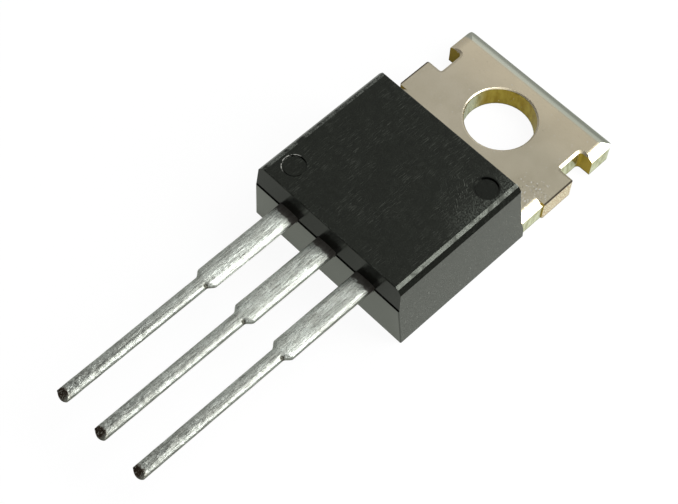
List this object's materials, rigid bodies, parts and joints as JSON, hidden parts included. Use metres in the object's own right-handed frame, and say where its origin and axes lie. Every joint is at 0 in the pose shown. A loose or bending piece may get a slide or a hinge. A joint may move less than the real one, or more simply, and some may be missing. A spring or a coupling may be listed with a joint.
{
  "type": "power transistor",
  "caption": "Through-hole power transistor: black moulded body on a flat metal tab with a mounting hole, and a row of flat tinned leads.",
  "frame": {"origin": "axis of the mounting hole on the back face of the tab", "axes": "+Z out of the back through the mounting hole to the moulded front, +Y from the leads to the tab's free end, +X across the leads, base lead at -X"},
  "size_m": [0.01, 0.0292, 0.0046],
  "materials": {
    "tab_metal": "satin nickel-plated copper alloy; brass stands in for it",
    "black_moulding": "satin moulded epoxy, finely scratched on top and glossier on the end walls",
    "tinned_lead": "dull tin plating over a copper alloy; brass stands in for it",
    "silicon": "polished silicon; gloss plastic stands in for it",
    "solder": "dull soft solder; steel stands in for it",
    "bond_wire": "bright drawn wire"
  },
  "bodies": {
    "root": {"heat_sink_tab": "tab_metal", "moulded_body": "black_moulding", "base_lead": "tinned_lead", "collector_lead": "tinned_lead", "emitter_lead": "tinned_lead", "silicon_die": "silicon", "die_solder": "solder", "base_bond_wire": "bond_wire", "emitter_bond_wire_1": "bond_wire", "emitter_bond_wire_2": "bond_wire"}
  },
  "joints": []
}
